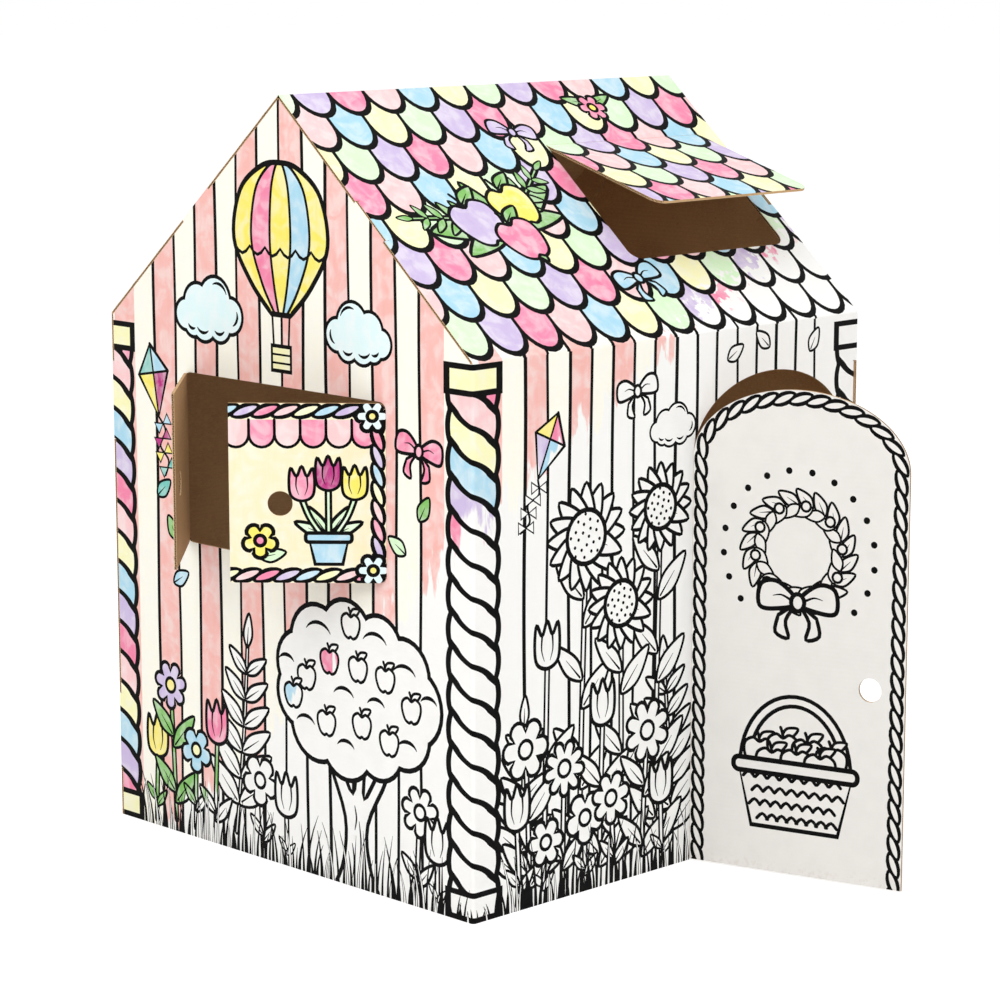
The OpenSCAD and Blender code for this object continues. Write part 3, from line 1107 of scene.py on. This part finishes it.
def roof_spray(pic):
    """Fruit among leaves on the shingles, with bows and a blossom round about."""
    pen = pic.pen(262, -300, 1.25, turn=14)
    for turn, length in ((168, 128), (194, 104), (148, 92), (12, 128), (-12, 104), (34, 92), (96, 78),
                         (-84, 74)):
        leaf(pen.pen(turn=turn), length, "leaf", wide=0.34)
    for turn in (68, -68):
        sprig(pen.pen(turn=turn), 5, 150, "leaf")
    for u, v, radius, ink in ((-38, 14, 40, "lilac"), (42, 18, 37, "sun"), (4, -30, 36, "hot_pink")):
        apple(pen.pen(u, v), radius, ink, "leaf")
    bow(pic.pen(452, -440, 1.0, turn=12), "sky")
    bow(pic.pen(420, -110, 0.9, turn=-14), "lilac")
    for turn in (20, 160):
        leaf(pic.pen(640, -60, turn=turn), 60, "leaf")
    blossom(pic.pen(640, -66), 6, 30, "hot_pink", "sun")


def roof_picture(coloured=True):
    pic = Picture()
    planks(pic, WALL_PLANKS, -SLOPE - 20, -420, PLANKS if coloured else None, seed=2)
    shingles(pic, ROOF_INKS if coloured else PLAIN)
    if coloured:
        roof_spray(pic)
    return pic


def door_picture():
    # The door's white is the walls' liner painted greyer, as painted shade
    ink = "door_liner"
    pic = Picture(ink)
    width, inset, wreath_v = DOOR_W - KERF, 13.5, 520
    line = arch(inset, width - 2 * inset, -30, DOOR_SIDE, DOOR_RISE - KERF - inset)
    rope(pic, line[1:] + line[:1], (ink,), 21)
    wreath(pic.pen(width / 2, wreath_v), 74, ink)
    for _, spot in ring(16, 128, -42, 238):
        pic.fill(oval(width / 2 + spot.x, wreath_v + spot.y, 5.5, steps=12), "ink")
    basket(pic.pen(width / 2, 74, 1.06), ink)
    return pic


def shutter_picture(hinge_right):
    """Drawn with the fold on the right, and turned over for the other shutter."""
    pic = Picture("field")
    edge = 12.5
    near, far, side = edge, WINDOW_H - edge, SHUTTER_W - edge

    def across(u):
        return u if hinge_right else SHUTTER_W - u

    def line(*places):
        return [at(across(u), v) for u, v in places]

    inks = ("sky", "lilac", "hot_pink", "pale_pink", "yellow")
    ends = sorted((across(-8), across(side)))
    awning(pic, *ends, WINDOW_H - 26, 42, 6, ("pale_pink", "hot_pink"))
    pot = pic.pen(across(150), 30, flip=1 if hinge_right else -1)
    pot_of_tulips(pot, "sky", ("hot_pink", "magenta", "sun"), "mint")
    leaf(pic.pen(across(46), 40, turn=12 if hinge_right else 168), 40, "mint", wide=0.5)
    blossom(pic.pen(across(46), 66), 5, 27, "sun", "hot_pink")
    rope(pic, line((-20, far), (side, far)), inks, 23)
    rope(pic, line((-20, near), (side, near)), inks[::-1], 23)
    rope(pic, line((side, near), (side, far)), inks, 21)
    for v in (near + 8, far - 8):
        blossom(pic.pen(across(side - 8), v), 6, 25, "cloud", "sun")
    return pic


# Outlines of the printed faces

def upright(u, v0, v1):
    return [at(u, v0), at(u, v1)]


def slope_point(s, n):
    """A point of a gable's picture, s down its right-hand slope and n out from the roof's face."""
    return at(WIDTH / 2 + s * cos(PITCH) + n * sin(PITCH), RIDGE - s * sin(PITCH) + n * cos(PITCH))


def mirrored(line):
    """The same on a gable's left-hand slope."""
    return [at(WIDTH - p.x, p.y) for p in reversed(line)]


def gable_outline():
    """Short of the roof and of the far wall, but out to their faces at the tabs' ears."""
    right_s, left_s = ((WIDTH / 2 - back + LAY * sin(PITCH)) / cos(PITCH) for back in (FOLD, LAY))
    ear = ROOF_TAB_W / 2 - KERF
    right = []
    for s, n0, n1 in ((ROOF_TAB_AT + ear, -LAY, 0), (ROOF_TAB_AT - ear, 0, -LAY)):
        right += [slope_point(s, n0), slope_point(s, n1)]
    apex = at(WIDTH / 2, RIDGE - LAY / cos(PITCH))
    side = [at(LAY, slope_point(left_s, -LAY).y)]
    half = TAB_W / 2 - KERF
    for h in (TAB_HIGH, TAB_LOW):
        side += path((LAY, h + half), (0, h + half), (0, h - half), (LAY, h - half))
    foot = [at(LAY, 0), at(WIDTH - FOLD, 0)]
    return foot + [slope_point(right_s, -LAY)] + right + [apex] + mirrored(right) + side


def tab_end(u, way, height, width):
    """The end of a panel at a tab, going up: into the notch, out round the tab's fold, and back."""
    inset, tip, half = u - way * NOTCH, u - way * (NOTCH - CORNER_ARC), width / 2
    steps = ((u, -half), (inset, -half), (inset, KERF - half), (tip, KERF - half), (tip, half - KERF),
             (inset, half - KERF), (inset, half), (u, half))
    return [at(x, height + dv) for x, dv in steps]


def wall_outline():
    right = [p for h in (TAB_LOW, TAB_HIGH) for p in tab_end(LENGTH, 1, h, TAB_W)]
    start = FOLD - CORNER_ARC
    return path((start, 0), (LENGTH, 0), *right, (LENGTH, WALL_TOP), (start, WALL_TOP))


def roof_outline():
    bottom = -EAVE_FLAT - FOLD * EAVE_TURN
    right = tab_end(LENGTH, 1, -ROOF_TAB_AT, ROOF_TAB_W)
    left = tab_end(0, -1, -ROOF_TAB_AT, ROOF_TAB_W)[::-1]
    return path((0, bottom), (LENGTH, bottom), *right, (LENGTH, 0), (0, 0), *left)


def fold_lines(start, end, v0, v1):
    """Upright lines across a fold's arc, so that the skin bends there in small facets."""
    return [((u, v0), (u, v1)) for u in steps_between(start, end, abs(end - start) / 6)]


def tab_lines(u, way, height, width):
    inset = u - way * NOTCH
    half = width / 2 - KERF
    return fold_lines(inset, inset + way * CORNER_ARC, height - half, height + half)


def clear_of_tabs(first, last, tabs, width):
    """The stretches of a panel's end between its tabs' notches."""
    marks = [first] + [h + side * width / 2 for h in sorted(tabs) for side in (-1, 1)] + [last]
    return list(zip(marks[::2], marks[1::2]))


doorway = arch(DOOR_X - CREASE, DOOR_W + CREASE, -20, DOOR_SIDE, DOOR_RISE)
window = rounded(WINDOW_X - CREASE, SILL, WINDOW_X + WINDOW_W + CREASE, SILL + WINDOW_H, [SHUTTER_CORNER] * 4)
hatchway = rounded(HATCH_X, -HATCH_TOP - HATCH_L, HATCH_X + HATCH_W, -HATCH_TOP + CREASE,
                   (HATCH_CORNER, HATCH_CORNER, 0, 0))
door_hinge = upright(DOOR_X, 0, DOOR_SIDE + DOOR_RISE)
shutter_hinges = [upright(u, SILL, SILL + WINDOW_H) for u in (WINDOW_X, WINDOW_X + WINDOW_W)]
hatch_hinge = path((HATCH_X, -HATCH_TOP), (HATCH_X + HATCH_W, -HATCH_TOP))

wall_folds = fold_lines(FOLD - CORNER_ARC, FOLD, -20, EAVE)
for h in (TAB_LOW, TAB_HIGH):
    wall_folds += tab_lines(LENGTH, 1, h, TAB_W)
eave_arc = fold_lines(-EAVE_FLAT - FOLD * EAVE_TURN, -EAVE_FLAT, -20, LENGTH + 20)
roof_folds = [(a[::-1], b[::-1]) for a, b in eave_arc]
for end, way in ((0, -1), (LENGTH, 1)):
    roof_folds += tab_lines(end, way, -ROOF_TAB_AT, ROOF_TAB_W)

# The two sheets
house_piece("gable_print", [skin(gable_picture(), GABLE, gable_outline(), [window], hinges=shutter_hinges)],
            fade="walls")
house_piece("wall_print", [skin(wall_picture(), WALL, wall_outline(), [doorway], wall_folds, [door_hinge])],
            fade="walls")
house_piece("roof_print", [skin(roof_picture(), ROOF, roof_outline(), [hatchway], roof_folds, [hatch_hinge])],
            fade="roof")
house_piece("far_gable_print", [skin(far_gable_picture(), FAR_GABLE, gable_outline())])
house_piece("back_wall_print", [skin(wall_picture(False), BACK_WALL, wall_outline(), splits=wall_folds)])
house_piece("back_roof_print", [skin(roof_picture(False), BACK_ROOF, roof_outline(), splits=roof_folds)])


def sheet_ends(wall, roof):
    """The cut ends of a sheet's wall and roof, between the tabs."""
    ends = [cut_edge(wall, upright(LENGTH, *part))
            for part in clear_of_tabs(0, WALL_TOP, (TAB_LOW, TAB_HIGH), TAB_W)]
    for u, side in ((0, -1), (LENGTH, 1)):
        ends += [cut_edge(roof, upright(u, *part), side)
                 for part in clear_of_tabs(-EAVE_FLAT, 0, (-ROOF_TAB_AT,), ROOF_TAB_W)]
    return ends


def ear_cuts(panel):
    """The outer edges of a gable's ears, flush with the roof and with the other sheet's wall."""
    half = ROOF_TAB_W / 2 - KERF
    right = [slope_point(ROOF_TAB_AT + half, 0), slope_point(ROOF_TAB_AT - half, 0)]
    half = TAB_W / 2 - KERF
    side = [upright(0, h + half, h - half) for h in (TAB_LOW, TAB_HIGH)]
    return [cut_edge(panel, line) for line in (right, mirrored(right), *side)]


half = len(window) // 2
cuts = [cut_edge(WALL, [at(p.x, max(p.y, 0)) for p in doorway[1:]], -1),
        cut_edge(GABLE, window[:half], -1), cut_edge(GABLE, window[half:], -1),
        cut_edge(ROOF, hatchway[-1:] + hatchway[:-1], -1)]
house_piece("front_sheet_edges", sheet_ends(WALL, ROOF) + ear_cuts(GABLE) + cuts)
house_piece("rear_sheet_edges", sheet_ends(BACK_WALL, BACK_ROOF) + ear_cuts(FAR_GABLE))


# The flaps

def opened(line, hinge):
    """An outline as an open line, without the stretch along its hinge."""
    def along(i):
        p, q = line[i - 1], line[i]
        return (q - p).length if max(distance(p, *hinge), distance(q, *hinge)) < CREASE else 0
    start = max(range(len(line)), key=along)
    return line[start:] + line[:start]


def flap(name, pic, panel, line, hinge, inward, hole=None):
    """A flap's print and cut edges, drawn shut and swung open. inward leads from the hinge into it."""
    holes = [oval(*hole, FINGER_R, steps=40)] if hole else []
    held = [p + Vector(inward) * max(0, CREASE - distance(p, *hinge)) for p in line]
    flap_piece(f"{name}_print", [skin(pic, panel, held, holes, hinges=[hinge])], name)
    edges = [cut_edge(panel, opened(line, hinge))] + [cut_edge(panel, h + h[:1], -1) for h in holes]
    flap_piece(f"{name}_edges", edges, name)


door_line = arch(0, DOOR_W - KERF, DOOR_FOOT, DOOR_SIDE, DOOR_RISE - KERF)
flap("door", door_picture(), Panel(WALL.point(DOOR_X, 0), (1, 0, 0)), door_line,
     upright(0, 0, DOOR_SIDE + DOOR_RISE), (1, 0), DOOR_HOLE)
inner_fold("door", WALL, (DOOR_X, DOOR_FOOT), (DOOR_X, DOOR_SIDE), -WALL.along)

for name, hinge_right in (("left_shutter", False), ("right_shutter", True)):
    foot = WINDOW_X + WINDOW_W - SHUTTER_W if hinge_right else WINDOW_X
    panel = Panel(GABLE.point(foot, SILL), (0, -1, 0))
    r = SHUTTER_CORNER - KERF
    radii = (0, r, r, 0) if hinge_right else (r, 0, 0, r)
    hinge_u, inward = (SHUTTER_W, -1) if hinge_right else (0.0, 1)
    hole_u = SHUTTER_HOLE_IN if hinge_right else SHUTTER_W - SHUTTER_HOLE_IN
    flap(name, shutter_picture(hinge_right), panel, rounded(0, KERF, SHUTTER_W, WINDOW_H - KERF, radii),
         upright(hinge_u, 0, WINDOW_H), (inward, 0), (hole_u, SHUTTER_HOLE_UP))
    bottom, top = shutter_hinges[hinge_right]
    ends = [p.lerp(q, SHUTTER_CORNER / WINDOW_H) for p, q in ((bottom, top), (top, bottom))]
    inner_fold(name, GABLE, *ends, GABLE.along * -inward)

hatch_line = rounded(HATCH_X + KERF, -HATCH_TOP - HATCH_L + KERF, HATCH_X + HATCH_W - KERF, -HATCH_TOP,
                     (HATCH_CORNER - KERF, HATCH_CORNER - KERF, 0, 0))
flap("hatch", roof_picture(), ROOF, hatch_line, hatch_hinge, (0, -1))
inner_fold("hatch", ROOF, *hatch_hinge, ROOF.up)

# Bare board
for node in frame["nodes"].values():
    for slot in node.material_slots:
        slot.material = ink_material("kraft_board")


# Floor, light and camera

FLOOR_SIZE, FLOOR_DROP = 60.0, 0.0005
FLOOR_COLOUR = (0.9, 0.9, 0.9, 1.0)
FLOOR_GLOW, FLOOR_GLOW_SHARE = 1.5, 0.5
WORLD_LIGHT = 0.6
LAMPS_AIM = Vector((0, 0, 0.6))


def backdrop_rays(nodes):
    """1 on the rays that show the backdrop: the camera's, and those that gloss or glass sends on."""
    rays = nodes.add("ShaderNodeLightPath").outputs
    sent_on = nodes.math("MAXIMUM", rays["Is Glossy Ray"], rays["Is Transmission Ray"])
    return nodes.math("MAXIMUM", rays["Is Camera Ray"], sent_on)


def floor_material():
    """A matt pale floor that shows as white round a soft shadow."""
    material = bpy.data.materials.new("floor")
    material.use_nodes = True
    nodes = Nodes(material.node_tree)
    nodes.tree.nodes.clear()
    matt = nodes.add("ShaderNodeBsdfDiffuse", {"Color": FLOOR_COLOUR})
    glow = nodes.add("ShaderNodeEmission", {"Strength": FLOOR_GLOW})
    share = nodes.math("MULTIPLY", backdrop_rays(nodes), FLOOR_GLOW_SHARE)
    mix = nodes.add("ShaderNodeMixShader", {0: share, 1: matt.outputs[0], 2: glow.outputs[0]})
    nodes.add("ShaderNodeOutputMaterial", {"Surface": mix.outputs[0]})
    return material


bpy.ops.mesh.primitive_plane_add(size=FLOOR_SIZE, location=(0, 0, -FLOOR_DROP))
floor = bpy.context.object
floor.name = "floor"
floor.data.materials.append(floor_material())

world = bpy.data.worlds.new("studio")
bpy.context.scene.world = world
world.use_nodes = True
nodes = Nodes(world.node_tree)
level = nodes.add("ShaderNodeMapRange", {"Value": backdrop_rays(nodes), "To Min": WORLD_LIGHT, "To Max": 1.0})
sky = nodes.tree.nodes["Background"]
nodes.set(sky.inputs["Color"], (1, 1, 1, 1))
nodes.set(sky.inputs["Strength"], level.outputs[0])


def placed(name, data, target, azimuth, elevation, distance):
    """An object that looks at a target from a direction in degrees."""
    a, e = radians(azimuth), radians(elevation)
    way = Vector((sin(a) * cos(e), -cos(a) * cos(e), sin(e)))
    made = bpy.data.objects.new(name, data)
    made.location = MIDDLE + target + way * distance
    made.rotation_euler = way.to_track_quat("Z", "Y").to_euler()
    bpy.context.scene.collection.objects.link(made)
    return made


def soft_light(name, azimuth, elevation, distance, size, power):
    lamp = bpy.data.lights.new(name, "AREA")
    lamp.size, lamp.energy = size, power
    placed(name, lamp, LAMPS_AIM, azimuth, elevation, distance)


soft_light("key", -70, 38, 4.5, 3.0, 78)
soft_light("fill", 15, 25, 5.0, 3.5, 48)
soft_light("top", -30, 80, 4.5, 3.0, 34)
soft_light("back", 150, 35, 5.0, 3.5, 45)

lens = bpy.data.cameras.new("camera")
lens.sensor_width = SENSOR
lens.lens = SENSOR * FOCAL_PIXELS / PHOTO_PIXELS
bpy.context.scene.camera = placed("camera", lens, Vector(CAMERA_TARGET), CAMERA_AZIMUTH, CAMERA_ELEVATION,
                                  CAMERA_DISTANCE)
bpy.context.scene.view_settings.view_transform = "Standard"
